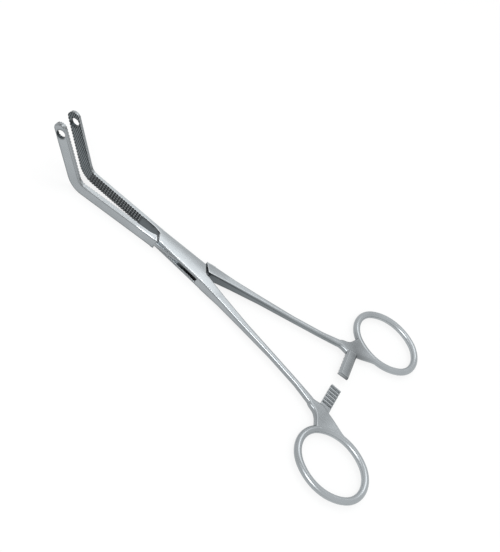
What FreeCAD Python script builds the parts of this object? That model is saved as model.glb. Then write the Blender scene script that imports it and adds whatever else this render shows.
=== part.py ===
import FreeCAD, Part
import math
import os
import re
import Sketcher
from FreeCAD import Placement, Rotation, Vector

# Bone graft holder: ring-handled forceps with a box lock, a ratchet and bent, drilled jaws.
# X runs from the pivot to the jaws, Z along the pivot pin, Y across the two arms.
# The origin is on the pin's axis, on the underside of the lock.
# Each arm is drawn closed about the lock's mid-height, then raised and turned by half the opening,
# so the part rests open as in use.
# Places on an arm: x along the arm, and "out", its distance from the middle on the jaw's side.

doc = FreeCAD.newDocument("bone_graft_holder")
sizes = doc.addObject("Spreadsheet::Sheet", "Sizes")

DIMENSIONS = [
    ("half_opening", 3.3, "degrees each arm is turned from closed"),
    ("pin_diameter", 3.2, "pivot pin body"),
    ("pin_head", 4.4, "peened head, flush in its countersink"),
    ("head_depth", 0.5, "depth of the countersink"),
    ("pin_running", 0.04, "radial clearance of the pin in the through arm"),
    ("pin_seat", 0.01, "radial clearance of the pin in the box walls"),
    ("box_thickness", 5.2, "over both walls of the box lock"),
    ("slot_height", 2.0, "window that the through arm passes"),
    ("slot_running", 0.06, "clearance above and below the waist"),
    ("box_front", 14.1, "pivot to the front edge, at the middle"),
    ("box_front_corner", 12.5, "pivot to the front edge, at the side"),
    ("box_rear", 13.2, "pivot to the rear edge, at the middle"),
    ("box_rear_corner", 10.2, "pivot to the rear edge, at the side"),
    ("side_front", 3.45, "middle to the side at the front corner"),
    ("side_rear", 4.9, "middle to the side where the shank begins"),
    ("heel_front", 3.35, "middle to the jaw side at the front"),
    ("heel_rear", 4.6, "middle to the jaw side at the rear"),
    ("window_rear", 9.8, "pivot to the window's rear end at the side"),
    ("window_front", 10.6, "pivot to the window's front end at the side"),
    ("middle_gap", 0.05, "half the gap left at the middle line"),
    ("shoulder_gap", 0.3, "full-height shoulders of the through arm off the box"),
    ("waist_half", 3.3, "half width of the waist beside the pin"),
    ("lock_edge", 0.4, "bevel along the lock's edges"),
    ("jaw_width", 5.45, "height of the jaw along the pin axis"),
    ("jaw_root_inner", 0.3, "middle to the jaw's inner face at the box"),
    ("jaw_bow", 0.8, "middle to the serrated face when closed"),
    ("jaw_thick_root", 2.95, "jaw thickness at the box"),
    ("jaw_thick_bend", 1.85, "jaw thickness at the bend"),
    ("relief_start", 17.5, "pivot to the smooth hollow behind the teeth"),
    ("relief_end", 25.0, "pivot to the first jaw tooth"),
    ("relief_depth", 0.35, "hollow below the serrated face"),
    ("bend_place", 54.2, "pivot to the inner corner of the bend"),
    ("bend_angle", 52.0, "degrees the tip rises"),
    ("bend_inner_radius", 5.0, "inner corner of the bend"),
    ("bend_outer_radius", 11.0, "outer corner of the bend"),
    ("tip_length", 28.8, "inner corner of the bend to the jaw's end"),
    ("tip_width", 5.6, "width of the bent tip"),
    ("tip_fullness", 0.98, "corner radius of the jaw's end as a share of half its width"),
    ("tip_thick", 1.8, "thickness at the jaw's end"),
    ("tip_gap", 0.05, "half the gap between the tips when closed"),
    ("jaw_edge", 0.35, "bevel along the jaw's outer edges"),
    ("guide_hole", 4.1, "drill guide hole near the jaw's end"),
    ("hole_setback", 5.0, "hole centre to the jaw's end"),
    ("serration_pitch", 1.3, "tooth spacing on the straight jaw"),
    ("serration_width", 1.05, "width of one groove there"),
    ("serration_depth", 0.42, "depth of one groove there"),
    ("tip_pitch", 0.9, "tooth spacing on the bent tip, along X"),
    ("tip_groove_width", 0.75, "width of one groove there"),
    ("tip_groove_depth", 0.34, "depth of one groove there"),
    ("groove_mouth", 0.25, "groove's start above the face as a share of its depth"),
    ("cross_pitch", 1.2, "spacing of the lengthwise grooves"),
    ("cross_rows", 4, "number of lengthwise grooves"),
    ("root_end", 15.0, "pivot to the start of the shank"),
    ("root_inner", 0.3, "middle to the shank's inner face at its start"),
    ("root_outer", 5.25, "middle to the shank's outer face at its start"),
    ("ring_place", 105.5, "pivot to the ring's centre"),
    ("ring_offset", 33.6, "middle to the ring's centre"),
    ("ring_long", 17.3, "half length of the ring's centre line"),
    ("ring_across", 14.3, "half width of the ring's centre line"),
    ("ring_tightening", 1.5, "ring's half width less the radius of the arcs at its two ends"),
    ("ring_wire", 3.4, "width of the ring's wire, seen from above"),
    ("ring_flattening", 0.1, "wire's width less its height"),
    ("ratchet_place", 90.85, "pivot to the ratchet bars"),
    ("ratchet_width", 5.3, "width of a ratchet bar"),
    ("ratchet_root", 13.5, "middle to the ratchet's root in the neck"),
    ("ratchet_reach", 1.65, "how far a ratchet bar passes the middle when closed"),
    ("ratchet_thick", 2.2, "ratchet bar thickness"),
    ("ratchet_back", 0.9, "rounding of the ratchet's back"),
    ("ratchet_gap", 0.05, "half the clearance between the two rows of crests"),
    ("ratchet_pitch", 2.0, "ratchet tooth spacing"),
    ("ratchet_depth", 0.6, "ratchet tooth depth"),
    ("ratchet_teeth", 6, "teeth on each ratchet bar"),
    ("hook_setback", 0.3, "bar's end to the first hook as a share of the tooth spacing"),
    ("hook_slope", 0.85, "length of a hook's slope as a share of the tooth spacing"),
]

# Stations of the shank and neck: name, x behind the pivot, distance from the middle, width, height, corner.
STATIONS = [
    ("heel", 26.0, 4.45, 3.8, 4.4, 0.8),
    ("waist", 41.0, 6.9, 3.1, 3.5, 1.0),
    ("middle", 58.0, 9.4, 2.75, 3.0, 1.15),
    ("rear", 74.0, 12.25, 2.8, 3.0, 1.2),
    ("neck", 83.0, 14.45, 3.7, 3.0, 1.3),
    ("throat", 86.3, 15.3, 5.4, 3.0, 1.3),
    ("collar", 88.8, 16.1, 8.0, 3.0, 1.3),
    ("web", 91.5, 18.9, 12.0, 3.0, 1.3),
    ("flank", 97.0, 18.4, 6.9, 3.0, 1.3),
    ("fairing", 102.0, 18.4, 2.6, 3.0, 1.2),
    ("run_out", 105.0, 18.9, 2.2, 2.4, 1.0),
]
STATION_PARTS = ("x", "y", "w", "z", "c")


def fill_sheet():
    rows = [(name, value) for name, value, note in DIMENSIONS]
    for station in STATIONS:
        for part, value in zip(STATION_PARTS, station[1:]):
            rows.append((station[0] + "_" + part, value))
    for row, (name, value) in enumerate(rows, start=1):
        sizes.set("A%d" % row, name)
        sizes.set("B%d" % row, str(value))
        sizes.setAlias("B%d" % row, name)
    doc.recompute()
    return [name for name, value in rows]


NAMES = fill_sheet()
THROUGH = "4 * tip_length"


# Turns a formula of cell names into one that another object can be bound to.
def bound(formula):
    return re.sub(r"[a-z][a-z_]*", lambda word: "Sizes." + word.group() if word.group() in NAMES else word.group(),
                  str(formula))


def bind(item, path, formula):
    item.setExpression(path, bound(formula))


def measure(item, formula):
    return float(item.evalExpression(bound(formula)))


# Adds a dimension to a sketch at its right size, and keeps it bound to its formula.
def dimension(sketch, formula, *kind_and_points):
    index = sketch.addConstraint(Sketcher.Constraint(*kind_and_points, measure(sketch, formula)))
    bind(sketch, "Constraints[%d]" % index, formula)


def value(name):
    return float(sizes.get(name))


def plane(body, role):
    return next(item for item in body.Origin.OriginFeatures if item.Role == role)


def new_sketch(body, name, role, offset="0"):
    sketch = body.newObject("Sketcher::SketchObject", name)
    sketch.AttachmentSupport = [(plane(body, role), "")]
    sketch.MapMode = "FlatFace"
    bind(sketch, "AttachmentOffset.Base.z", offset)
    return sketch


# Fixes a point of the sketch at two formulas.
def pin_point(sketch, geometry, end, across, up):
    dimension(sketch, across, "DistanceX", -1, 1, geometry, end)
    dimension(sketch, up, "DistanceY", -1, 1, geometry, end)


def polygon(sketch, points):
    count = len(points)
    first = sketch.GeometryCount
    places = [Vector(measure(sketch, across), measure(sketch, up), 0) for across, up in points]
    for step in range(count):
        sketch.addGeometry(Part.LineSegment(places[step], places[(step + 1) % count]), False)
    for step in range(count):
        follower = first + (step + 1) % count
        sketch.addConstraint(Sketcher.Constraint("Coincident", first + step, 2, follower, 1))
        pin_point(sketch, first + step, 1, *points[step])


def circle(sketch, across, up, radius):
    index = sketch.addGeometry(Part.Circle(Vector(1, 1, 0), Vector(0, 0, 1), 1.0), False)
    pin_point(sketch, index, 3, across, up)
    dimension(sketch, radius, "Radius", index)


# A rectangle with four equal round corners, centred on two formulas.
def rounded_rectangle(sketch, across, up, width, height, corner):
    quarter = math.pi / 2
    radius = measure(sketch, corner)
    centres = []
    for right, top in ((1, 1), (-1, 1), (-1, -1), (1, -1)):
        centres.append(("%s + (%d) * (%s / 2 - %s)" % (across, right, width, corner),
                        "%s + (%d) * (%s / 2 - %s)" % (up, top, height, corner)))
    for turn, centre in enumerate(centres):
        place = Vector(measure(sketch, centre[0]), measure(sketch, centre[1]), 0)
        ring = Part.Circle(place, Vector(0, 0, 1), radius)
        sketch.addGeometry(Part.ArcOfCircle(ring, turn * quarter, (turn + 1) * quarter), False)
    for turn in range(4):
        start = sketch.Geometry[turn].EndPoint
        finish = sketch.Geometry[(turn + 1) % 4].StartPoint
        sketch.addGeometry(Part.LineSegment(start, finish), False)
    for turn in range(4):
        sketch.addConstraint(Sketcher.Constraint("Tangent", turn, 2, 4 + turn, 1))
        sketch.addConstraint(Sketcher.Constraint("Tangent", 4 + turn, 2, (turn + 1) % 4, 1))
    for turn, centre in enumerate(centres):
        pin_point(sketch, turn, 3, *centre)
        dimension(sketch, corner, "Radius", turn)


def pad(body, name, sketch, length, symmetric=True, reverse=False):
    feature = body.newObject("PartDesign::Pad", name)
    feature.Profile = sketch
    bind(feature, "Length", length)
    feature.Midplane = symmetric
    feature.Reversed = reverse
    doc.recompute()
    return feature


# A pocket must take something away, so its volume is compared.
def pocket(body, name, sketch, length, symmetric=True, reverse=False):
    before = body.Tip.Shape.Volume
    feature = body.newObject("PartDesign::Pocket", name)
    feature.Profile = sketch
    bind(feature, "Length", length)
    feature.Midplane = symmetric
    feature.Reversed = reverse
    doc.recompute()
    if not feature.Shape.Volume < before:
        raise RuntimeError(name + " cuts nothing")
    return feature


def repeat(body, name, feature, direction, spacing, count):
    before = body.Tip.Shape.Volume
    pattern = body.newObject("PartDesign::LinearPattern", name)
    pattern.Originals = [feature]
    pattern.Direction = direction
    pattern.Mode = "Spacing"
    bind(pattern, "Offset", spacing)
    bind(pattern, "Occurrences", count)
    body.Tip = pattern
    doc.recompute()
    if not pattern.Shape.Volume < before:
        raise RuntimeError(name + " repeats nothing")
    return pattern


def edges_where(shape, test):
    return ["Edge%d" % index for index, edge in enumerate(shape.Edges, start=1) if test(edge)]


def soften(body, name, kind, edges, size):
    base = body.Tip
    feature = body.newObject("PartDesign::" + kind, name)
    feature.Base = (base, edges)
    bind(feature, "Radius" if kind == "Fillet" else "Size", size)
    doc.recompute()
    return feature


# A piece of the assembly, turned by a share of the half opening and raised onto the lock's underside.
def new_piece(name, turn):
    body = doc.addObject("PartDesign::Body", name)
    body.Label = name
    body.Placement = Placement(Vector(), Rotation(Vector(0, 0, 1), 1.0))
    bind(body, "Placement.Rotation.Angle", "%d * half_opening" % turn)
    bind(body, "Placement.Base.z", "box_thickness / 2")
    doc.recompute()
    return body


# Points are written as (x, out), and side puts out on +Y or -Y.
def plan(side, points):
    return [(across, "(%d) * (%s)" % (side, out)) for across, out in points]


# The bent bar of a jaw: its side outline with round corners, then its thickness seen from above.
def add_jaw(body, side, start):
    sketch = new_sketch(body, body.Name + "_jaw_side", "XZ_Plane")
    tip_x = "bend_place + tip_length * cos(bend_angle)"
    tip_z = "jaw_width / 2 + tip_length * sin(bend_angle)"
    lower_x = ("bend_place + tip_width * sin(bend_angle)"
               " - (jaw_width - tip_width * cos(bend_angle)) / tan(bend_angle)")
    polygon(sketch, [
        (start, "-jaw_width / 2"),
        (lower_x, "-jaw_width / 2"),
        (tip_x + " + tip_width * sin(bend_angle)", tip_z + " - tip_width * cos(bend_angle)"),
        (tip_x, tip_z),
        ("bend_place", "jaw_width / 2"),
        (start, "jaw_width / 2"),
    ])
    bar = pad(body, body.Name + "_jaw_bar", sketch, "4 * jaw_thick_root")
    corners = vertical_corners(bar.Shape, value("jaw_width"))
    soften(body, body.Name + "_bend_outside", "Fillet", corners["outside"], "bend_outer_radius")
    corners = vertical_corners(body.Tip.Shape, value("jaw_width"))
    soften(body, body.Name + "_bend_inside", "Fillet", corners["inside"], "bend_inner_radius")
    corners = vertical_corners(body.Tip.Shape, value("jaw_width"))
    soften(body, body.Name + "_tip_round", "Fillet", corners["end"], "tip_width / 2 * tip_fullness")
    inner = [
        (start, "jaw_root_inner"),
        ("relief_start", "jaw_bow + relief_depth"),
        ("relief_end - relief_depth", "jaw_bow + relief_depth"),
        ("relief_end", "jaw_bow"),
        ("bend_place", "jaw_bow"),
        (tip_x + " + tip_width", "tip_gap"),
    ]
    sketch = new_sketch(body, body.Name + "_jaw_inner", "XY_Plane")
    beyond = "-4 * jaw_thick_root"
    polygon(sketch, plan(side, inner + [(tip_x + " + tip_width", beyond), (start, beyond)]))
    pocket(body, body.Name + "_inner_cut", sketch, THROUGH)
    outer = [
        (start, "jaw_root_inner + jaw_thick_root"),
        ("bend_place", "jaw_bow + jaw_thick_bend"),
        (tip_x + " + tip_width", "tip_gap + tip_thick"),
    ]
    sketch = new_sketch(body, body.Name + "_jaw_outer", "XY_Plane")
    beyond = "4 * jaw_thick_root"
    polygon(sketch, plan(side, outer + [(tip_x + " + tip_width", beyond), (start, beyond)]))
    pocket(body, body.Name + "_outer_cut", sketch, THROUGH)


# Edges along Y of the jaw's side outline, sorted into the bend's two corners and the jaw's end.
def vertical_corners(shape, width):
    found = {"inside": [], "outside": [], "end": []}
    for index, edge in enumerate(shape.Edges, start=1):
        along = edge.Vertexes[-1].Point - edge.Vertexes[0].Point
        if abs(along.y) < 1 or abs(along.x) > 0.01 or abs(along.z) > 0.01:
            continue
        place = edge.Vertexes[0].Point
        if place.z > width:
            found["end"].append("Edge%d" % index)
        elif place.z > 0.4 * width and abs(place.x - value("bend_place")) < 0.5:
            found["inside"].append("Edge%d" % index)
        elif place.z < 0 and place.x > value("bend_place") - 1:
            found["outside"].append("Edge%d" % index)
    return found


# Bevels the long edges of the jaw's outer face.
def bevel_jaw(body, side, start):
    bend = value("bend_place")
    reach = value("tip_length") * math.cos(math.radians(value("bend_angle"))) + value("tip_width")
    root_out = value("jaw_root_inner") + value("jaw_thick_root")
    bend_out = value("jaw_bow") + value("jaw_thick_bend")
    tip_out = value("tip_gap") + value("tip_thick")

    def on_outer_face(point):
        if point.x < bend:
            expected = root_out + (bend_out - root_out) * (point.x - start) / (bend - start)
        else:
            expected = bend_out + (tip_out - bend_out) * (point.x - bend) / reach
        return abs(side * point.y - expected) < 0.002

    def wanted(edge):
        middle = edge.valueAt((edge.FirstParameter + edge.LastParameter) / 2)
        across = all(abs(corner.Point.x - bend) < 0.01 for corner in edge.Vertexes)
        root = all(abs(corner.Point.x - start) < 0.01 for corner in edge.Vertexes)
        return on_outer_face(middle) and not across and not root

    soften(body, body.Name + "_jaw_edges", "Chamfer", edges_where(body.Tip.Shape, wanted), "jaw_edge")


def add_guide_hole(body):
    sketch = new_sketch(body, body.Name + "_guide", "XZ_Plane")
    along = "(tip_length - hole_setback)"
    circle(sketch,
           "bend_place + %s * cos(bend_angle) + tip_width / 2 * sin(bend_angle)" % along,
           "jaw_width / 2 + %s * sin(bend_angle) - tip_width / 2 * cos(bend_angle)" % along,
           "guide_hole / 2")
    pocket(body, body.Name + "_guide_hole", sketch, THROUGH)


# A groove's outline: its mouth a little off the face and its root below the face.
def groove(start, face, width, depth):
    mouth = "%s - groove_mouth * %s" % (face, depth)
    return [
        (start, mouth),
        ("%s + %s / 2" % (start, width), "%s + %s" % (face, depth)),
        ("%s + %s" % (start, width), mouth),
    ]


# The grooves run along the pin's direction on the whole serrated face, and lengthwise too before the bend.
def add_jaw_teeth(body, side):
    name = body.Name
    sketch = new_sketch(body, name + "_straight_groove", "XY_Plane")
    polygon(sketch, plan(side, groove("relief_end + 0.5 * serration_pitch", "jaw_bow",
                                      "serration_width", "serration_depth")))
    first = pocket(body, name + "_straight_tooth", sketch, "2 * jaw_width")
    repeat(body, name + "_straight_teeth", first, (plane(body, "X_Axis"), [""]), "serration_pitch",
           "floor((bend_place - relief_end) / serration_pitch)")

    reach = "(tip_length * cos(bend_angle) + tip_width * sin(bend_angle))"
    fall = "(jaw_bow - tip_gap) / (tip_length * cos(bend_angle) + tip_width)"
    place = "bend_place + 0.5 * tip_pitch"
    face = "jaw_bow - %s * 0.5 * tip_pitch" % fall
    sketch = new_sketch(body, name + "_tip_groove", "XY_Plane")
    polygon(sketch, plan(side, groove(place, face, "tip_groove_width", "tip_groove_depth")))
    line = sketch.addGeometry(Part.LineSegment(Vector(1, 0, 0), Vector(5, 1, 0)), True)
    pin_point(sketch, line, 1, place, "(%d) * (%s)" % (side, face))
    pin_point(sketch, line, 2, place + " + tip_length", "(%d) * (%s - %s * tip_length)" % (side, face, fall))
    first = pocket(body, name + "_tip_tooth", sketch, THROUGH)
    repeat(body, name + "_tip_teeth", first, (sketch, ["Axis0"]), "tip_pitch",
           "floor(%s / tip_pitch) - 1" % reach)

    sketch = new_sketch(body, name + "_long_groove", "YZ_Plane", "relief_end")
    low = "-(cross_rows - 1) / 2 * cross_pitch - serration_width / 2"
    rows = [(out, along) for along, out in groove(low, "jaw_bow", "serration_width", "serration_depth")]
    polygon(sketch, [("(%d) * (%s)" % (side, out), along) for out, along in rows])
    first = pocket(body, name + "_long_tooth", sketch, "bend_place - relief_end", False, True)
    repeat(body, name + "_long_teeth", first, (plane(body, "Z_Axis"), [""]), "cross_pitch", "cross_rows")


# The box: two walls seen from above as one outline, bevelled, with the window cut between them.
def add_box(body, side):
    sketch = new_sketch(body, body.Name + "_box_plan", "XY_Plane")
    polygon(sketch, plan(side, [
        ("box_front_corner", "-side_front"),
        ("box_front", "-middle_gap"),
        ("box_front", "heel_front"),
        ("-box_rear_corner", "heel_rear"),
        ("-box_rear", "middle_gap"),
        ("-root_end", "-root_inner"),
        ("-root_end", "-root_outer"),
        ("-box_rear_corner", "-side_rear"),
    ]))
    block = pad(body, body.Name + "_box", sketch, "box_thickness")
    bevel(body, block.Shape, "lock_edge")
    sketch = new_sketch(body, body.Name + "_window_plan", "XY_Plane")
    polygon(sketch, plan(side, [
        ("2 * box_front", "-middle_gap"),
        ("box_front - middle_gap", "-middle_gap"),
        ("window_front", "2 * heel_rear"),
        ("-root_end - 1", "2 * heel_rear"),
        ("-root_end - 1", "middle_gap"),
        ("-box_rear + middle_gap", "middle_gap"),
        ("-window_rear", "-2 * side_rear"),
        ("2 * box_front", "-2 * side_rear"),
    ]))
    pocket(body, body.Name + "_window", sketch, "slot_height")
    sketch = new_sketch(body, body.Name + "_pin_seat", "XZ_Plane")
    polygon(sketch, pin_profile("pin_seat"))
    before = body.Tip.Shape.Volume
    bore = body.newObject("PartDesign::Groove", body.Name + "_pin_hole")
    bore.Profile = sketch
    bore.ReferenceAxis = (sketch, ["V_Axis"])
    doc.recompute()
    if not bore.Shape.Volume < before:
        raise RuntimeError("the pin hole cuts nothing")


# Bevels the long top and bottom edges, but not the two ends where jaw and shank begin.
def bevel(body, shape, size):
    top = value("box_thickness") / 2
    front = value("box_front")
    rear = -value("root_end")

    def wanted(edge):
        points = [corner.Point for corner in edge.Vertexes]
        level = all(abs(abs(point.z) - top) < 0.01 for point in points)
        ends = any(all(abs(point.x - end) < 0.01 for point in points) for end in (front, rear))
        return level and not ends

    soften(body, body.Name + "_lock_bevel", "Chamfer", edges_where(shape, wanted), size)


# Half outline of the rivet, with a clearance all round: a countersunk head at each end.
def pin_profile(clearance):
    shaft = "pin_diameter / 2 + " + clearance
    head = "pin_head / 2 + " + clearance
    return [
        ("0", "box_thickness / 2"),
        (head, "box_thickness / 2"),
        (shaft, "box_thickness / 2 - head_depth"),
        (shaft, "-box_thickness / 2 + head_depth"),
        (head, "-box_thickness / 2"),
        ("0", "-box_thickness / 2"),
    ]


# The through arm's thin waist between the walls and its full-height shoulders outside them.
def add_waist(body, side):
    front = "box_front + shoulder_gap"
    shoulders = [
        ("front", [
            (front, "jaw_root_inner"),
            (front, "jaw_root_inner + jaw_thick_root"),
            ("box_front_corner + shoulder_gap", "jaw_root_inner + jaw_thick_root"),
        ]),
        ("rear", [
            ("-box_rear - shoulder_gap", "-root_inner"),
            ("-box_rear_corner - shoulder_gap", "-heel_rear"),
            ("-root_end", "-root_outer"),
            ("-root_end", "-root_inner"),
        ]),
    ]
    sketch = new_sketch(body, body.Name + "_waist_plan", "XY_Plane")
    polygon(sketch, plan(side, [
        (front, "jaw_root_inner + jaw_thick_root"),
        ("0", "waist_half"),
        ("-box_rear + shoulder_gap", "-middle_gap"),
        ("-root_end", "-root_inner"),
        ("-root_end", "-root_outer"),
        ("-box_rear_corner", "-heel_rear"),
        ("0", "-waist_half"),
        ("box_front_corner", "jaw_root_inner"),
        (front, "jaw_root_inner"),
    ]))
    pad(body, body.Name + "_waist", sketch, "slot_height - 2 * slot_running")
    for place, points in shoulders:
        sketch = new_sketch(body, body.Name + "_" + place + "_plan", "XY_Plane")
        polygon(sketch, plan(side, points))
        pad(body, body.Name + "_" + place + "_shoulder", sketch, "box_thickness")
    sketch = new_sketch(body, body.Name + "_pin_circle", "XY_Plane")
    circle(sketch, "0", "0", "pin_diameter / 2 + pin_running")
    pocket(body, body.Name + "_pin_hole", sketch, THROUGH)


def station_sketch(body, side, station):
    sketch = new_sketch(body, body.Name + "_" + station, "YZ_Plane", "-%s_x" % station)
    cells = [station + "_" + part for part in ("w", "z", "c")]
    rounded_rectangle(sketch, "(%d) * %s_y" % (-side, station), "0", *cells)
    return sketch


def root_sketch(body, side):
    sketch = new_sketch(body, body.Name + "_root", "YZ_Plane", "-root_end")
    middle = "(%d) * (root_inner + root_outer) / 2" % -side
    rounded_rectangle(sketch, middle, "0", "(root_outer - root_inner)", "box_thickness", "lock_edge")
    return sketch


# A skin through the sections: straight from one to the next, or smooth through all of them.
def add_loft(body, name, sketches, straight):
    feature = body.newObject("PartDesign::AdditiveLoft", body.Name + "_" + name)
    feature.Profile = sketches[0]
    feature.Sections = sketches[1:]
    feature.Ruled = straight
    doc.recompute()
    return feature


def add_shank(body, side):
    names = [station[0] for station in STATIONS]
    turn = names.index("neck")
    shank = [root_sketch(body, side)] + [station_sketch(body, side, name) for name in names[:turn + 1]]
    web = [shank[-1]] + [station_sketch(body, side, name) for name in names[turn + 1:]]
    add_loft(body, "shank", shank, True)
    add_loft(body, "collar_web", web, False)


# An ellipse by its whole width, along the sketch's first axis, and its whole height, which is less.
def ellipse(sketch, across, up, width, height):
    middle = Vector(measure(sketch, across), measure(sketch, up), 0)
    side = middle + Vector(measure(sketch, width) / 2, 0, 0)
    top = middle + Vector(0, measure(sketch, height) / 2, 0)
    index = sketch.addGeometry(Part.Ellipse(side, top, middle), False)
    sketch.exposeInternalGeometry(index)
    pin_point(sketch, index, 3, across, up)
    pin_point(sketch, index + 1, 1, "%s + %s / 2" % (across, width), up)
    dimension(sketch, "%s + %s / 2" % (up, height), "DistanceY", -1, 1, index + 2, 1)


# The finger ring: slightly flattened wire along an oval of arcs that run into each other.
# The path starts and ends at the ring's far end, where the wire's section is drawn.
def add_ring(body, side):
    tight = "(ring_across - ring_tightening)"
    flat = "(((ring_long - %s)^2 + ring_across^2 - %s^2) / (2 * (ring_across - %s)))" % (tight, tight, tight)
    path = new_sketch(body, body.Name + "_ring_path", "XY_Plane")
    middle_y = "(%d) * ring_offset" % -side
    near_x = "-ring_place + ring_long - " + tight
    far_x = "-ring_place - ring_long + " + tight
    small = measure(path, tight)
    large = measure(path, flat)
    turn = math.atan2(large - value("ring_across"), value("ring_long") - small)
    rise = Vector(0, large - value("ring_across"), 0)
    middle = Vector(-value("ring_place"), measure(path, middle_y), 0)
    near = Vector(measure(path, near_x), middle.y, 0)
    far = Vector(measure(path, far_x), middle.y, 0)
    arcs = [
        (far, small, math.pi, math.pi + turn),
        (middle + rise, large, math.pi + turn, 2 * math.pi - turn),
        (near, small, -turn, turn),
        (middle - rise, large, turn, math.pi - turn),
        (far, small, math.pi - turn, math.pi),
    ]
    for centre, radius, start, finish in arcs:
        round_line = Part.Circle(centre, Vector(0, 0, 1), radius)
        path.addGeometry(Part.ArcOfCircle(round_line, start, finish), False)
    for index in range(4):
        path.addConstraint(Sketcher.Constraint("Tangent", index, 2, index + 1, 1))
    path.addConstraint(Sketcher.Constraint("Coincident", 4, 2, 0, 1))
    for index, along in ((0, far_x), (2, near_x), (4, far_x)):
        pin_point(path, index, 3, along, middle_y)
    dimension(path, middle_y, "DistanceY", -1, 1, 0, 1)
    for index, formula in enumerate((tight, flat, tight, flat)):
        dimension(path, formula, "Radius", index)
    section = new_sketch(body, body.Name + "_ring_section", "XZ_Plane", "(%d) * ring_offset" % side)
    ellipse(section, "-ring_place - ring_long", "0", "ring_wire", "(ring_wire - ring_flattening)")
    doc.recompute()
    sweep = body.newObject("PartDesign::AdditivePipe", body.Name + "_ring")
    sweep.Profile = section
    sweep.Spine = (path, [])
    doc.recompute()


# A ratchet bar with a round back, reaching past the middle, and hooked teeth on its face.
# The box arm's teeth look up and the through arm's look down, so the bars pass each other.
def add_ratchet(body, side):
    name = body.Name
    sketch = new_sketch(body, name + "_ratchet_end", "XZ_Plane", "(%d) * ratchet_reach" % -side)
    low = "-ratchet_place - ratchet_width / 2"
    high = "-ratchet_place + ratchet_width / 2"
    face = "(%d) * ratchet_gap" % side
    shoulder = "(%d) * (ratchet_gap + ratchet_thick - ratchet_back)" % side
    back = "(%d) * (ratchet_gap + ratchet_thick)" % side
    polygon(sketch, [
        (low, face),
        (low, shoulder),
        (low + " + ratchet_back", back),
        (high + " - ratchet_back", back),
        (high, shoulder),
        (high, face),
    ])
    pad(body, name + "_ratchet", sketch, "ratchet_root + ratchet_reach", False, side < 0)
    sketch = new_sketch(body, name + "_ratchet_notch", "YZ_Plane", "-ratchet_place")
    edge = "(ratchet_reach - hook_setback * ratchet_pitch)"
    top = "(%d) * (ratchet_gap - groove_mouth * ratchet_depth)" % side
    root = "(%d) * (ratchet_gap + ratchet_depth)" % side
    polygon(sketch, [
        ("(%d) * %s" % (side, edge), top),
        ("(%d) * %s" % (side, edge), root),
        ("(%d) * (%s - hook_slope * ratchet_pitch)" % (side, edge), top),
    ])
    first = pocket(body, name + "_ratchet_tooth", sketch, "2 * ratchet_width")
    line = sketch.addGeometry(Part.LineSegment(Vector(1, 0, 0), Vector(2, 0, 0)), True)
    pin_point(sketch, line, 1, "(%d) * %s" % (side, edge), root)
    pin_point(sketch, line, 2, "(%d) * (%s - ratchet_pitch)" % (side, edge), root)
    repeat(body, name + "_ratchet_teeth", first, (sketch, ["Axis0"]), "ratchet_pitch", "ratchet_teeth")


def build_box_arm():
    arm = new_piece("box_arm", -1)
    add_box(arm, -1)
    add_plain_jaw(arm, -1, "box_front", value("box_front"))
    add_handle(arm, -1)
    add_jaw_teeth(arm, -1)
    return arm


def build_through_arm():
    arm = new_piece("through_arm", 1)
    add_plain_jaw(arm, 1, "box_front + shoulder_gap", value("box_front") + value("shoulder_gap"))
    add_waist(arm, 1)
    add_handle(arm, 1)
    add_jaw_teeth(arm, 1)
    return arm


def add_plain_jaw(arm, side, start, start_place):
    add_jaw(arm, side, start)
    bevel_jaw(arm, side, start_place)
    add_guide_hole(arm)


def add_handle(arm, side):
    add_shank(arm, side)
    add_ring(arm, side)
    add_ratchet(arm, side)


def build_pin():
    body = new_piece("pivot_pin", 0)
    sketch = new_sketch(body, "pivot_pin_profile", "XZ_Plane")
    polygon(sketch, pin_profile("0"))
    turned = body.newObject("PartDesign::Revolution", "pivot_pin_turned")
    turned.Profile = sketch
    turned.ReferenceAxis = (sketch, ["V_Axis"])
    doc.recompute()
    return body


# Refuses a part with a broken feature or an invalid solid, then writes it.
def export(bodies):
    for item in doc.Objects:
        if "Invalid" in item.State or "Error" in item.State:
            raise RuntimeError(item.Name + " did not build")
    os.makedirs("parts", exist_ok=True)
    for body in bodies:
        shape = body.Shape
        if shape.isNull() or not shape.isValid() or len(shape.Solids) != 1:
            raise RuntimeError(body.Label + " is not one valid solid")
        shape.exportStep("parts/" + body.Label + ".step")


export([build_box_arm(), build_through_arm(), build_pin()])
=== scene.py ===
import math
import bpy
from mathutils import Euler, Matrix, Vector


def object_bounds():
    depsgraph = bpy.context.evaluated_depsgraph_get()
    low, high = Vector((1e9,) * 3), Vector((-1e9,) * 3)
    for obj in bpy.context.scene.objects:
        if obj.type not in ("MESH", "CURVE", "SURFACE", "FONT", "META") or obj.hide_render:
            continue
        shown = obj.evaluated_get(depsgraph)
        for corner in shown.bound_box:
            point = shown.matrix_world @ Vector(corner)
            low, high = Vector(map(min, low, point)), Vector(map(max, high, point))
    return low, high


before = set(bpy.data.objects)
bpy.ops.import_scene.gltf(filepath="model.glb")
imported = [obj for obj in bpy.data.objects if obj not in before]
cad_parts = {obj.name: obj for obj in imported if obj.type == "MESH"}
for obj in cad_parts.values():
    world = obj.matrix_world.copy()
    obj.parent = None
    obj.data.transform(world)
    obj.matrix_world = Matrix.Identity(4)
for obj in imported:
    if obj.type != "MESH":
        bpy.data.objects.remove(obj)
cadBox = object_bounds()
mm = 0.001
print("frame loaded:", sorted(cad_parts))


# The camera stands where the photographer stood, rolled so that the arms run across the picture.
camera = {
    "place": (-0.75 * mm, 252.93 * mm, 274.58 * mm),
    "turn": (36.239, -28.777, -152.865),   # degrees about X, Y and Z
    "lens": 54.34,                          # mm, on a 36 mm long side
}


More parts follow.
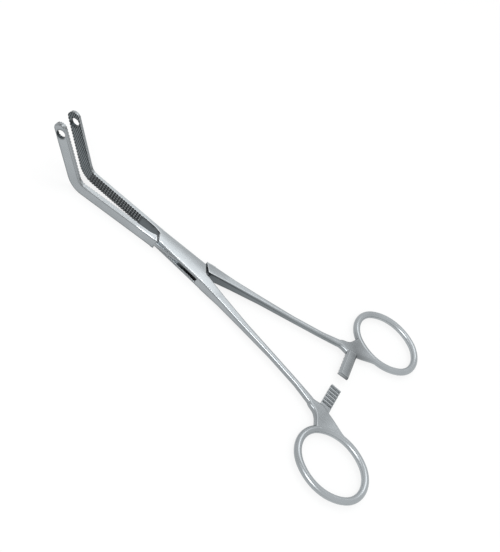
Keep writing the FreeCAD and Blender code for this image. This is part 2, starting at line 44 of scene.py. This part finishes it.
def addCamera():
    data = bpy.data.cameras.new("photoCamera")
    data.lens = camera["lens"]
    data.sensor_width = 36.0
    data.clip_start = 0.01
    data.clip_end = 20.0
    stand = bpy.data.objects.new("photoCamera", data)
    stand.location = camera["place"]
    stand.rotation_euler = Euler([math.radians(angle) for angle in camera["turn"]])
    bpy.context.collection.objects.link(stand)
    bpy.context.scene.camera = stand
    print("camera placed")


# sRGB hex to Blender's linear colour.
def linearColour(hexText):
    channels = []
    for start in (0, 2, 4):
        share = int(hexText[start:start + 2], 16) / 255
        channels.append(share / 12.92 if share <= 0.04045 else ((share + 0.055) / 1.055) ** 2.4)
    return (*channels, 1.0)


# Adds one node and gives back one of its outputs. Settings are properties or socket values, links are
# sockets fed by other nodes, and a socket's setting that is a text is a colour.
def addNode(tree, kind, settings=None, links=None, output=0):
    node = tree.nodes.new("ShaderNode" + kind)
    for name, setting in (settings or {}).items():
        if isinstance(name, int) or name in node.inputs:
            node.inputs[name].default_value = linearColour(setting) if isinstance(setting, str) else setting
        else:
            setattr(node, name, setting)
    for name, source in (links or {}).items():
        tree.links.new(source, node.inputs[name])
    return node.outputs[output] if node.outputs else None


def emptyMaterial(name):
    material = bpy.data.materials.new(name)
    material.use_nodes = True
    material.node_tree.nodes.clear()
    return material, material.node_tree


# Satin stainless steel, blasted with fine beads and then brushed lightly along the arm.
# To the eye: pale ground tops, greyer forged sides, painted shade on the flanks where the arms face each
# other, in nearly black roots and in a thin dark line below the top edges, and a bright line of wear and
# painted highlight on them.
# A shade multiplies the tone, and a share is how much of the tone below it another one covers at most.
satinSteel = {
    "ground": "9FA4A7",         # faces that look along the pin
    "forged": "A3A8AB",         # sides
    "flank": "686E71",          # painted shade on the sides that face the other arm, near the lock
    "farShadedFlank": "8D9396",       # the same painted shade, lighter near the rings, where more of the room reaches them
    # painted shade: the teeth in the jaws are darker, and nearly black in their roots
    "shadedToothCrest": "7D8386",     # crests of the teeth in the jaws
    "shadedToothRoot": "24292B",
    "coarseTeethShade": 0.52,   # painted shade on the wider teeth before the bend, with their hooked faces turned away
    "ratchetRoot": "CDD1D3",    # bright flanks throw light into the roots of the ratchet's teeth
    "ratchetRootShare": 0.85,
    # painted shade inside the guide hole
    "shadedHoleWall": "3E4447",
    # painted shade, nearly black, in roots and gaps
    "creviceShadow": "14181A",
    "creviceShare": 0.92,
    "neckCreviceShare": 0.15,   # what is left of the crevice's share behind the neck
    # the bright line on top of an edge: wear and painted highlight
    "wornEdgeAndHighlight": "C4C8CA",
    "edgeShadow": "6A7073",     # the same line where the face is upright
    "edgeShare": 0.72,
    "flankEdgeShare": 0.25,     # what is left of the edge's share on a flank, on the jaws and behind the neck
    "jawEdgeShare": 0.35,
    "neckEdgeShare": 0.35,
    "belowEdgeShade": 0.55,     # painted shade: the thin dark line below an edge
    "shoulderTilt": 0.42,       # painted shade where the rounding turns from top to side, which is darker
    "jawShoulderTilt": 0.72,    # the same on the jaws' bevels
    "shoulderWidth": 0.18,
    "shoulderShade": 0.86,
    "jawShoulderShade": 0.25,
    "ringShade": 1.10,          # painted light: the rings are a little brighter
    "darkPatch": 0.92,
    "palePatch": 1.06,
    "lowRoughness": 0.20,
    "highRoughness": 0.30,
    "patchSize": 14 * mm,       # slow change of tone along a forging
    "beadSize": 0.35 * mm,      # real beads are 0.1 mm, drawn coarser so that they show
    "beadDepth": 0.008 * mm,
    "brushGap": 0.30 * mm,      # real lines are 0.05 mm apart, drawn coarser so that they show
    "brushLength": 9 * mm,
    "brushDepth": 0.004 * mm,
    "edgeRadius": 0.26 * mm,
    "edgeLine": 1.1 * mm,       # reach of the bright line on top of an edge, and of the dark one below it
    "creviceReach": 2.2 * mm,
    "crown": 13.0,              # 1/m, how fast the lock's top falls off to its two sides
    "crownFrom": 24 * mm,       # from the pin: there is no crown beyond this, and all of it within the next
    "crownFull": 13 * mm,
    "lockMiddle": 2.6 * mm,
    "lockHalf": 13.6 * mm,      # the lock has no inner flank
    "windowHalf": 1.3 * mm,     # half the height of the window in the lock's side, which has no worn edges
    "windowEnd": 15 * mm,       # edges further from the pin are worn at that height too
    "rivetFlush": 2.6 * mm,     # ground away round the rivet, so that it hardly shows
    "toothedFrom": 24.6 * mm,
    "bend": 54.5 * mm,
    "guideHole": (71.06 * mm, 0.0, 22.36 * mm),
    "guideRadius": 2.05 * mm,
    "nearFlankEnd": -20 * mm,
    "farFlankFrom": -65 * mm,
    "neckAt": -84 * mm,         # the ring and its web have no inner flank
    "web": (-91.0 * mm, 18.5 * mm, 2.6 * mm),
    "webReach": 10 * mm,        # hollowed by a round stone, and painted shade makes its middle darker
    "barFront": -88.2 * mm,
    "barBack": -93.5 * mm,
    "barRoot": 12 * mm,         # where the ratchet bar leaves the web
    "ringAt": -98 * mm,
}


# How the steel's values are worked out, in this order. X runs along the arm from the pin towards the jaw.
# A MapRange row reads one value, and says between which two limits it goes from what to what. Any other
# row is a Math node's operation, carried out between all that it names. Level is 1 on a face that looks
# along the pin and 0 on an upright one, and nearby is 0 in a deep gap and 1 in the open.
def steelSteps(arm, steel):
    teeth = steel["toothedFrom"]
    jaw = (teeth - 4 * mm, teeth)
    neck = (steel["neckAt"] - 3 * mm, steel["neckAt"] + 3 * mm)
    neckEnd = (steel["neckAt"] - 2 * mm, steel["neckAt"])
    window = (steel["windowHalf"], steel["windowHalf"] + 0.5 * mm)
    lockSide = (steel["lockHalf"], steel["lockHalf"] + 0.8 * mm)
    rivet = (steel["rivetFlush"], steel["rivetFlush"] + 0.5 * mm)
    hole = steel["guideRadius"]
    root = steel["barRoot"]
    return (
        # where the point is, and which way its face looks
        ("level", "ABSOLUTE", "normalZ"),
        ("reach", "ABSOLUTE", "x"),
        ("outward", "MULTIPLY", "y", -arm["side"]),   # towards the arm's own ring
        ("forward", "SIGN", "x"),
        ("facing", "MULTIPLY", "forward", "normalY", arm["side"]),   # below 0 towards the other arm
        ("height", "SUBTRACT", "z", steel["lockMiddle"]),
        ("offMiddle", "ABSOLUTE", "height"),
        ("levelBeside", "ABSOLUTE", "besideZ"),
        # how much each tone lies over those before it
        ("top", "MapRange", "level", 0.25, 0.85, 0, 1),
        ("inward", "MapRange", "facing", -0.45, -0.72, 0, 1),
        ("offLock", "MapRange", "reach", *lockSide, 0, 1),
        ("beforeNeck", "MapRange", "x", *neck, 0, 1),
        # where the flanks' painted shade lies
        ("flank", "MULTIPLY", "inward", "offLock", "beforeNeck"),
        ("farShadedFlank", "MapRange", "x", steel["nearFlankEnd"], steel["farFlankFrom"], 0, 1),
        ("toothed", "MapRange", "x", teeth - 0.5 * mm, teeth, 0, 1),
        # painted shade in the teeth's roots, where little of the room reaches
        ("shadedToothRoot", "MapRange", "nearby", 0.20, 0.80, 1, 0),
        ("teethShade", "MapRange", "x", steel["bend"] - 2 * mm, steel["bend"], steel["coarseTeethShade"], 1),
        ("inHole", "MapRange", "fromHole", hole + 0.10 * mm, hole + 0.02 * mm, 0, 1),
        ("offWeb", "MapRange", "outward", root, root - 1 * mm, 0, 1),
        ("behindFront", "MapRange", "x", steel["barFront"] + 1 * mm, steel["barFront"], 0, 1),
        ("barRoots", "MapRange", "nearby", 0.90, 0.50, 0, steel["ratchetRootShare"]),
        ("inRatchet", "MULTIPLY", "offWeb", "behindFront", "barRoots"),
        # painted shade: the darker shoulder between top and side
        ("tilt", "MapRange", "x", *jaw, steel["shoulderTilt"], steel["jawShoulderTilt"]),
        ("overTilt", "SUBTRACT", "level", "tilt"),
        ("offTilt", "ABSOLUTE", "overTilt"),
        ("onShoulder", "MapRange", "offTilt", 0, steel["shoulderWidth"], 1, 0),
        ("deepest", "MapRange", "x", *jaw, 1 - steel["shoulderShade"], 1 - steel["jawShoulderShade"]),
        ("shoulderDip", "MULTIPLY", "onShoulder", "deepest"),
        ("shoulder", "SUBTRACT", 1, "shoulderDip"),
        # painted light on the rings, and painted shade in the webs' middles and on the ratchet bars towards
        # the rings
        ("ring", "MapRange", "x", steel["ringAt"], steel["ringAt"] + 6 * mm, steel["ringShade"], 1),
        ("webHollowShade", "MapRange", "fromWeb", 0, steel["webReach"], arm["webShade"], 1),
        ("towardsRing", "MapRange", "x", steel["barFront"], steel["barBack"], 0, 1 - arm["barShade"]),
        ("nearBar", "MapRange", "outward", root + 6 * mm, root, 0, 1),
        ("barDip", "MULTIPLY", "towardsRing", "nearBar"),
        ("bar", "SUBTRACT", 1, "barDip"),
        # painted shade: the dark line below an edge, where the steel beside a point is more level than the
        # point
        ("neckEdge", "MapRange", "x", *neck, steel["neckEdgeShare"], 1),
        ("levelRise", "SUBTRACT", "levelBeside", "level"),
        ("rise", "MULTIPLY", "levelRise", "neckEdge"),
        ("belowEdge", "MapRange", "rise", 0.02, 0.14, 1, steel["belowEdgeShade"]),
        ("patch", "MapRange", "patches", 0.3, 0.7, steel["darkPatch"], steel["palePatch"]),
        ("shade", "MULTIPLY", "patch", "webHollowShade", "bar", "shoulder", "ring", "belowEdge"),
        # wear and painted highlight: the bright line on an edge, clear of the rivet, the guide hole and the
        # lock's window
        ("offRivet", "MapRange", "fromPin", *rivet, 0, 1),
        ("offHole", "MapRange", "fromHole", hole + 0.4 * mm, hole + 0.7 * mm, 0, 1),
        ("clear", "MULTIPLY", "offRivet", "offHole"),
        ("sharp", "MapRange", "likeness", 0.995, 0.93, 0, steel["edgeShare"]),
        ("exposed", "MapRange", "nearby", 0.30, 0.60, 0, 1),
        ("flankEdge", "MapRange", "flank", 0, 1, 1, steel["flankEdgeShare"]),
        ("jawEdge", "MapRange", "x", *jaw, 1, steel["jawEdgeShare"]),
        ("offWindow", "MapRange", "offMiddle", *window, 0, 1),
        ("pastWindow", "MapRange", "reach", steel["windowEnd"], steel["windowEnd"] + 3 * mm, 0, 1),
        ("plainSide", "MAXIMUM", "offWindow", "pastWindow"),
        ("edge", "MULTIPLY", "sharp", "clear", "flankEdge", "exposed", "jawEdge", "neckEdge", "plainSide"),
        ("edgeTop", "MapRange", "level", 0.30, 0.62, 0, 1),
        # painted shade: nearly black roots and gaps, but not round the rivet
        ("sheltered", "MapRange", "nearby", 0.03, 0.34, steel["creviceShare"], 0),
        ("neckCrevice", "MapRange", "x", *neckEnd, steel["neckCreviceShare"], 1),
        ("creviceShadow", "MULTIPLY", "sheltered", "offRivet", "neckCrevice"),
        # the brushed lines' gloss, and the height of the lock's crown
        ("sheen", "MapRange", "brush", 0.3, 0.7, steel["lowRoughness"], steel["highRoughness"]),
        ("onLock", "MapRange", "reach", steel["crownFrom"], steel["crownFull"], 0, 1),
        ("crown", "MULTIPLY", "y", "y", "onLock", -steel["crown"]),
    )


# What the steps start from: the place along the arm, the way that the face and its neighbours look, how
# open the place is, distances and grain.
def addSources(tree, arm, steel):
    coordinates = addNode(tree, "TexCoord", output="Object")
    turn = (0, 0, math.radians(arm["turn"]))
    along = addNode(tree, "Mapping", {"Rotation": turn}, {"Vector": coordinates})
    place = addNode(tree, "SeparateXYZ", None, {0: along}).node
    flat = addNode(tree, "NewGeometry", output="Normal")
    spaces = {"vector_type": "NORMAL", "convert_from": "WORLD", "convert_to": "OBJECT"}
    ownNormal = addNode(tree, "VectorTransform", spaces, {0: flat})
    normal = addNode(tree, "SeparateXYZ", None, {0: ownNormal}).node
    beside = addNode(tree, "Bevel", {"samples": 10, "Radius": steel["edgeLine"]})
    shelter = {"samples": 8, "Distance": steel["creviceReach"]}
    made = {
        "x": place.outputs[0],
        "y": place.outputs[1],
        "z": place.outputs[2],
        "normalY": normal.outputs[1],
        "normalZ": normal.outputs[2],
        "flatNormal": flat,
        "besideZ": addNode(tree, "SeparateXYZ", None, {0: beside}, 2),
        "likeness": addNode(tree, "VectorMath", {"operation": "DOT_PRODUCT"}, {0: beside, 1: flat}, "Value"),
        "nearby": addNode(tree, "AmbientOcclusion", shelter, None, "AO"),
    }
    web = steel["web"]
    centres = {
        "fromPin": ((0, 0, 0), (1, 1, 0)),          # a centre, and which directions count
        "fromHole": (steel["guideHole"], (1, 0, 1)),
        "fromWeb": ((web[0], -arm["side"] * web[1], web[2]), (1, 1, 1)),
    }
    for name, (centre, counted) in centres.items():
        offset = addNode(tree, "VectorMath", {"operation": "SUBTRACT", 1: centre}, {0: along})
        kept = addNode(tree, "VectorMath", {"operation": "MULTIPLY", 1: counted}, {0: offset})
        made[name] = addNode(tree, "VectorMath", {"operation": "LENGTH"}, {0: kept}, "Value")
    stretch = (steel["brushGap"] / steel["brushLength"], 1.0, 1.0)
    stretched = addNode(tree, "Mapping", {"Scale": stretch}, {"Vector": along})
    grains = {
        "patches": (steel["patchSize"], 3.0, along),   # size, detail, and what it follows
        "beads": (steel["beadSize"], 2.0, along),
        "brush": (steel["brushGap"], 4.0, stretched),
    }
    for name, (size, detail, where) in grains.items():
        made[name] = addNode(tree, "TexNoise", {"Scale": 1 / size, "Detail": detail}, {"Vector": where})
    return made


# Works the steps out one after the other and keeps what each one gives under its name.
def followSteps(tree, made, steps):
    for name, operation, *parts in steps:
        if operation == "MapRange":
            source, low, high, start, finish = parts
            made[name] = addNode(tree, "MapRange", {1: low, 2: high, 3: start, 4: finish}, {0: made[source]})
            continue
        result = parts[0]
        for part in parts[1:] or [0]:
            settings = {"operation": operation}
            links = {}
            for socket, item in enumerate((result, part)):
                if isinstance(item, (int, float)):
                    settings[socket] = item
                else:
                    links[socket] = made[item] if isinstance(item, str) else item
            result = addNode(tree, "Math", settings, links)
        made[name] = result


# The tones in the order in which they lie over each other.
def addSteelColour(tree, made, steel):
    plain = {"data_type": "RGBA", 6: steel["forged"], 7: steel["ground"]}
    tone = addNode(tree, "Mix", plain, {0: made["top"]}, 2)
    # painted shade on the flanks, lighter towards the rings, and on the teeth
    smooth = {"data_type": "RGBA", 6: steel["flank"], 7: steel["farShadedFlank"]}
    smooth = addNode(tree, "Mix", smooth, {0: made["farShadedFlank"]}, 2)
    teeth = {"data_type": "RGBA", 6: steel["shadedToothCrest"], 7: steel["shadedToothRoot"]}
    teeth = addNode(tree, "Mix", teeth, {0: made["shadedToothRoot"]}, 2)
    teeth = addNode(tree, "VectorMath", {"operation": "SCALE"}, {0: teeth, 3: made["teethShade"]})
    inner = addNode(tree, "Mix", {"data_type": "RGBA"}, {0: made["toothed"], 6: smooth, 7: teeth}, 2)
    tone = addNode(tree, "Mix", {"data_type": "RGBA"}, {0: made["flank"], 6: tone, 7: inner}, 2)
    for share, over in (("inHole", "shadedHoleWall"), ("inRatchet", "ratchetRoot")):
        tone = addNode(tree, "Mix", {"data_type": "RGBA", 7: steel[over]}, {0: made[share], 6: tone}, 2)
    tone = addNode(tree, "VectorMath", {"operation": "SCALE"}, {0: tone, 3: made["shade"]})
    line = {"data_type": "RGBA", 6: steel["edgeShadow"], 7: steel["wornEdgeAndHighlight"]}
    line = addNode(tree, "Mix", line, {0: made["edgeTop"]}, 2)
    tone = addNode(tree, "Mix", {"data_type": "RGBA"}, {0: made["edge"], 6: tone, 7: line}, 2)
    return addNode(tree, "Mix", {"data_type": "RGBA", 7: steel["creviceShadow"]}, {0: made["creviceShadow"], 6: tone}, 2)


# Rounded edges away from the rivet and the holes, then the crown, the beads and the brushed lines.
def addSteelRelief(tree, made, steel):
    rounded = addNode(tree, "Bevel", {"samples": 12, "Radius": steel["edgeRadius"]})
    ends = {0: made["clear"], 4: made["flatNormal"], 5: rounded}
    relief = addNode(tree, "Mix", {"data_type": "VECTOR"}, ends, 1)
    heights = (("crown", 1.0), ("beads", steel["beadDepth"]), ("brush", steel["brushDepth"]))
    for height, depth in heights:
        settings = {"Strength": 1.0, "Distance": depth}
        relief = addNode(tree, "Bump", settings, {"Height": made[height], "Normal": relief})
    return relief


def addSatinSteel(name, arm, steel):
    material, tree = emptyMaterial(name)
    made = addSources(tree, arm, steel)
    followSteps(tree, made, steelSteps(arm, steel))
    colour = addSteelColour(tree, made, steel)
    relief = addSteelRelief(tree, made, steel)
    shader = addNode(tree, "BsdfPrincipled", {"Metallic": 1.0},
                     {"Base Color": colour, "Roughness": made["sheen"], "Normal": relief})
    addNode(tree, "OutputMaterial", None, {"Surface": shader})
    return material


# Each arm's grain follows its own length, so it is turned back by the arm's half of the opening.
# The side is that of the arm's jaw, on +Y or -Y, and the rivet has none.
arms = {
    "box_arm": {"turn": 3.3, "side": -1.0, "webShade": 0.76, "barShade": 0.90},
    "through_arm": {"turn": -3.3, "side": 1.0, "webShade": 0.55, "barShade": 0.42},
    "pivot_pin": {"turn": 3.3, "side": 0.0, "webShade": 1.0, "barShade": 1.0},
}


def dressNodes():
    for node, arm in arms.items():
        material = addSatinSteel("satinStainlessSteel_" + node, arm, satinSteel)
        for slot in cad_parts[node].material_slots:
            slot.material = material
    print("steel laid on", len(arms), "nodes")


# How much a ray sees plain white: the camera's, and those that metal and glass send on.
def addSeenShare(tree):
    path = addNode(tree, "LightPath").node
    seen = path.outputs["Is Camera Ray"]
    for ray in ("Is Glossy Ray", "Is Transmission Ray"):
        seen = addNode(tree, "Math", {"operation": "MAXIMUM"}, {0: seen, 1: path.outputs[ray]})
    return seen


# A matt white table: it shows a soft shadow, and is white to the camera and in the steel's sheen.
floor = {
    "size": 6.0,
    "gap": 0.02 * mm,          # below the lowest point of the object
    "colour": "F4F5F5",
    "roughness": 0.9,
    "ownWhite": 0.78,          # share of the view that is plain white, the rest takes the shadow
    "grainSize": 1.5 * mm,
    "grainDepth": 0.02 * mm,
    "grainStrength": 0.1,
}


def addFloor():
    bpy.ops.object.select_all(action="DESELECT")
    lowest = cadBox[0].z
    bpy.ops.mesh.primitive_plane_add(size=floor["size"], location=(0, 0, lowest - floor["gap"]))
    table = bpy.context.object
    table.name = "floor"
    material, tree = emptyMaterial("mattWhiteLaminate")
    place = addNode(tree, "TexCoord", output="Object")
    grain = addNode(tree, "TexNoise", {"Scale": 1 / floor["grainSize"]}, {"Vector": place})
    dimpled = {"Strength": floor["grainStrength"], "Distance": floor["grainDepth"]}
    dimples = addNode(tree, "Bump", dimpled, {"Height": grain})
    matt = addNode(tree, "BsdfPrincipled", {"Base Color": floor["colour"], "Roughness": floor["roughness"]},
                   {"Normal": dimples})
    white = addNode(tree, "Emission", {"Color": "FFFFFF", "Strength": 1.0})
    share = addNode(tree, "Math", {"operation": "MULTIPLY", 1: floor["ownWhite"]}, {0: addSeenShare(tree)})
    mixed = addNode(tree, "MixShader", None, {0: share, 1: matt, 2: white})
    addNode(tree, "OutputMaterial", None, {"Surface": mixed})
    table.data.materials.append(material)
    print("floor laid")


# Soft boxes: place in metres, size in metres and power in watts; each one looks at the lock.
lamps = {
    "frontLamp": {"place": (0.05, 0.62, 0.66), "size": 0.32, "power": 2.1},
    "overLamp": {"place": (0.00, -0.40, 0.80), "size": 0.50, "power": 1.1},
}
worldLight = {"colour": "FFFFFF", "strength": 0.90}


def addLight():
    for name, lamp in lamps.items():
        data = bpy.data.lights.new(name, "AREA")
        data.shape = "SQUARE"
        data.size = lamp["size"]
        data.energy = lamp["power"]
        stand = bpy.data.objects.new(name, data)
        stand.location = lamp["place"]
        stand.rotation_euler = (-Vector(lamp["place"])).to_track_quat("-Z", "Y").to_euler()
        bpy.context.collection.objects.link(stand)
    world = bpy.data.worlds.new("softRoom")
    world.use_nodes = True
    tree = world.node_tree
    tree.nodes.clear()
    room = addNode(tree, "Background", {"Color": worldLight["colour"], "Strength": worldLight["strength"]})
    backdrop = addNode(tree, "Background", {"Color": "FFFFFF", "Strength": 1.0})
    mixed = addNode(tree, "MixShader", None, {0: addSeenShare(tree), 1: room, 2: backdrop})
    addNode(tree, "OutputWorld", None, {"Surface": mixed})
    bpy.context.scene.world = world
    print("light set")


bpy.context.scene.view_settings.view_transform = "Standard"
addCamera()
dressNodes()
addFloor()
addLight()
